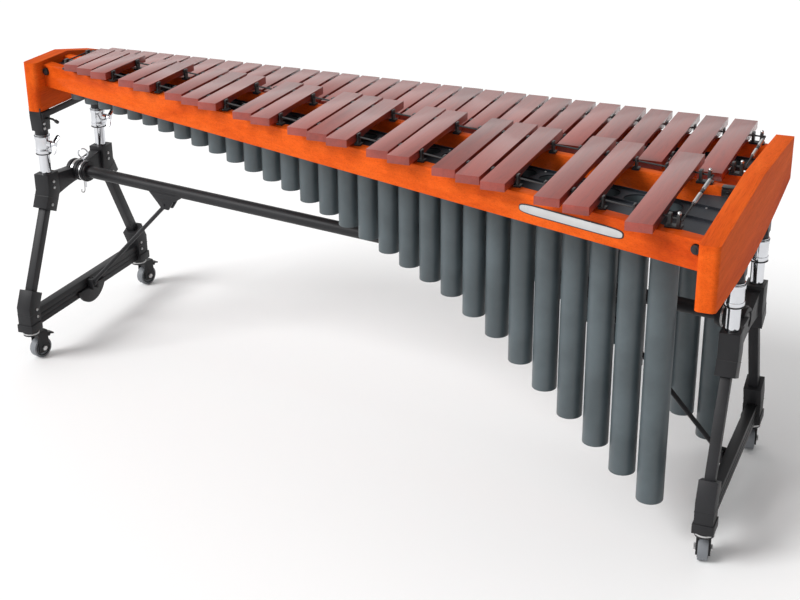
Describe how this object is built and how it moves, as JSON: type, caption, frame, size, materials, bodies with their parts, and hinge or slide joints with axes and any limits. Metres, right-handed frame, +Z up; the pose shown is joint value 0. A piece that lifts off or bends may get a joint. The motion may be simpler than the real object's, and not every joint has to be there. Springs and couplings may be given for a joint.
{
  "type": "concert marimba",
  "caption": "Tapered mallet keyboard: graduated wooden bars in two rows on cords, over two banks of tube resonators, on a height-adjustable trolley stand with swivel casters",
  "frame": {"origin": "middle of the bounding box footprint, on the floor", "axes": "+X to the low-note end, -Y the accidental side, +Z up; metres"},
  "size_m": [2.11, 1.219, 0.882],
  "materials": {
    "frame_wood": "warm orange-red stain under satin lacquer",
    "bar_wood": "reddish tonewood, satin lacquer",
    "resonator_metal": "fine matte slate powder coat",
    "stand_metal": "charcoal powder coat",
    "post_plastic": "moulded black",
    "cord": "braided black",
    "steel": "zinc plated",
    "chrome": "bright chrome",
    "wheel_rubber": "grey caster tread"
  },
  "bodies": {
    "stand": {"height_tubes": "chrome", "leg_knuckles": "stand_metal", "leg_tubes": "stand_metal", "foot_castings": "stand_metal", "crossbars": "stand_metal", "brace_plates": "stand_metal", "high_yoke": "stand_metal", "low_yoke": "stand_metal", "stretcher_tube": "stand_metal", "brace_brackets": "stand_metal"},
    "keyboard": {"front_rail": "frame_wood", "accidental_inner_rail": "frame_wood", "natural_inner_rail": "frame_wood", "rear_rail": "frame_wood", "high_end_block": "frame_wood", "low_end_block": "frame_wood", "rail_bolts": "stand_metal", "natural_bars_1": "bar_wood", "natural_bars_2": "bar_wood", "natural_bars_3": "bar_wood", "natural_bars_4": "bar_wood", "accidental_bars_1": "bar_wood", "accidental_bars_2": "bar_wood", "accidental_bars_3": "bar_wood", "accidental_front_posts": "post_plastic", "accidental_rear_posts": "post_plastic", "natural_front_posts": "post_plastic", "natural_rear_posts": "post_plastic", "accidental_cord": "cord", "natural_cord": "cord", "cord_springs": "steel", "natural_resonators": "resonator_metal", "accidental_resonators": "resonator_metal", "natural_resonator_plate": "resonator_metal", "accidental_resonator_plate": "resonator_metal", "resonator_brackets": "stand_metal", "end_straps": "stand_metal", "leg_sockets": "stand_metal", "clamp_collars": "chrome"},
    "wing_screw_high_front": {"wing_screw_high_front": "chrome"},
    "wing_screw_high_rear": {"wing_screw_high_rear": "chrome"},
    "wing_screw_low_front": {"wing_screw_low_front": "chrome"},
    "wing_screw_low_rear": {"wing_screw_low_rear": "chrome"},
    "high_brace": {"high_brace": "stand_metal"},
    "low_brace": {"low_brace": "stand_metal"},
    "high_hitch_pin": {"high_hitch_pin": "chrome"},
    "low_hitch_pin": {"low_hitch_pin": "chrome"},
    "caster_fork_high_front": {"caster_fork_high_front": "stand_metal"},
    "caster_wheel_high_front": {"caster_wheel_high_front": "wheel_rubber"},
    "brake_pedal_high_front": {"brake_pedal_high_front": "stand_metal"},
    "caster_fork_high_rear": {"caster_fork_high_rear": "stand_metal"},
    "caster_wheel_high_rear": {"caster_wheel_high_rear": "wheel_rubber"},
    "brake_pedal_high_rear": {"brake_pedal_high_rear": "stand_metal"},
    "caster_fork_low_front": {"caster_fork_low_front": "stand_metal"},
    "caster_wheel_low_front": {"caster_wheel_low_front": "wheel_rubber"},
    "brake_pedal_low_front": {"brake_pedal_low_front": "stand_metal"},
    "caster_fork_low_rear": {"caster_fork_low_rear": "stand_metal"},
    "caster_wheel_low_rear": {"caster_wheel_low_rear": "wheel_rubber"},
    "brake_pedal_low_rear": {"brake_pedal_low_rear": "stand_metal"}
  },
  "joints": [
    {"name": "keyboard_height", "type": "slide", "parent": "stand", "child": "keyboard", "axis": [0, 0, 1], "range_m": [-0.02, 0.1]},
    {"name": "wing_screw_high_front_turn", "type": "hinge", "parent": "keyboard", "child": "wing_screw_high_front", "pos_m": [-1.03, 0.096, 0.622], "axis": [1, 0, 0], "range_deg": [-180, 180]},
    {"name": "wing_screw_high_rear_turn", "type": "hinge", "parent": "keyboard", "child": "wing_screw_high_rear", "pos_m": [-1.03, 0.382, 0.622], "axis": [1, 0, 0], "range_deg": [-180, 180]},
    {"name": "wing_screw_low_front_turn", "type": "hinge", "parent": "keyboard", "child": "wing_screw_low_front", "pos_m": [1.03, -0.256, 0.622], "axis": [-1, 0, 0], "range_deg": [-180, 180]},
    {"name": "wing_screw_low_rear_turn", "type": "hinge", "parent": "keyboard", "child": "wing_screw_low_rear", "pos_m": [1.03, 0.03, 0.622], "axis": [-1, 0, 0], "range_deg": [-180, 180]},
    {"name": "high_brace_swing", "type": "hinge", "parent": "stand", "child": "high_brace", "pos_m": [-0.683, 0.17971, 0.453], "axis": [-0.1684, -0.9857, 0], "range_deg": [0, 25]},
    {"name": "low_brace_swing", "type": "hinge", "parent": "stand", "child": "low_brace", "pos_m": [0.683, -0.05371, 0.453], "axis": [0.1684, 0.9857, 0], "range_deg": [0, 25]},
    {"name": "high_hitch_pin_pull", "type": "slide", "parent": "stand", "child": "high_hitch_pin", "axis": [0, 0, 1], "range_m": [0, 0.072]},
    {"name": "low_hitch_pin_pull", "type": "slide", "parent": "stand", "child": "low_hitch_pin", "axis": [0, 0, 1], "range_m": [0, 0.072]},
    {"name": "caster_high_front_swivel", "type": "hinge", "parent": "stand", "child": "caster_fork_high_front", "pos_m": [-1.03, -0.057, 0.08], "axis": [0, 0, 1], "continuous": true},
    {"name": "caster_high_front_roll", "type": "hinge", "parent": "caster_fork_high_front", "child": "caster_wheel_high_front", "pos_m": [-1.02275, -0.02995, 0.031], "axis": [-0.9659, 0.2588, 0], "continuous": true},
    {"name": "caster_high_front_brake", "type": "hinge", "parent": "caster_fork_high_front", "child": "brake_pedal_high_front", "pos_m": [-1.01654, -0.00677, 0.065], "axis": [-0.9659, 0.2588, 0], "range_deg": [0, 10]},
    {"name": "caster_high_rear_swivel", "type": "hinge", "parent": "stand", "child": "caster_fork_high_rear", "pos_m": [-1.03, 0.535, 0.08], "axis": [0, 0, 1], "continuous": true},
    {"name": "caster_high_rear_roll", "type": "hinge", "parent": "caster_fork_high_rear", "child": "caster_wheel_high_rear", "pos_m": [-1.02275, 0.56205, 0.031], "axis": [-0.9659, 0.2588, 0], "continuous": true},
    {"name": "caster_high_rear_brake", "type": "hinge", "parent": "caster_fork_high_rear", "child": "brake_pedal_high_rear", "pos_m": [-1.01654, 0.58523, 0.065], "axis": [-0.9659, 0.2588, 0], "range_deg": [0, 10]},
    {"name": "caster_low_front_swivel", "type": "hinge", "parent": "stand", "child": "caster_fork_low_front", "pos_m": [1.03, -0.392, 0.08], "axis": [0, 0, 1], "continuous": true},
    {"name": "caster_low_front_roll", "type": "hinge", "parent": "caster_fork_low_front", "child": "caster_wheel_low_front", "pos_m": [1.02514, -0.36442, 0.031], "axis": [-0.9848, -0.1736, 0], "continuous": true},
    {"name": "caster_low_front_brake", "type": "hinge", "parent": "caster_fork_low_front", "child": "brake_pedal_low_front", "pos_m": [1.02097, -0.34079, 0.065], "axis": [-0.9848, -0.1736, 0], "range_deg": [0, 10]},
    {"name": "caster_low_rear_swivel", "type": "hinge", "parent": "stand", "child": "caster_fork_low_rear", "pos_m": [1.03, 0.166, 0.08], "axis": [0, 0, 1], "continuous": true},
    {"name": "caster_low_rear_roll", "type": "hinge", "parent": "caster_fork_low_rear", "child": "caster_wheel_low_rear", "pos_m": [1.02514, 0.19357, 0.031], "axis": [-0.9848, -0.1736, 0], "continuous": true},
    {"name": "caster_low_rear_brake", "type": "hinge", "parent": "caster_fork_low_rear", "child": "brake_pedal_low_rear", "pos_m": [1.02097, 0.21721, 0.065], "axis": [-0.9848, -0.1736, 0], "range_deg": [0, 10]}
  ]
}
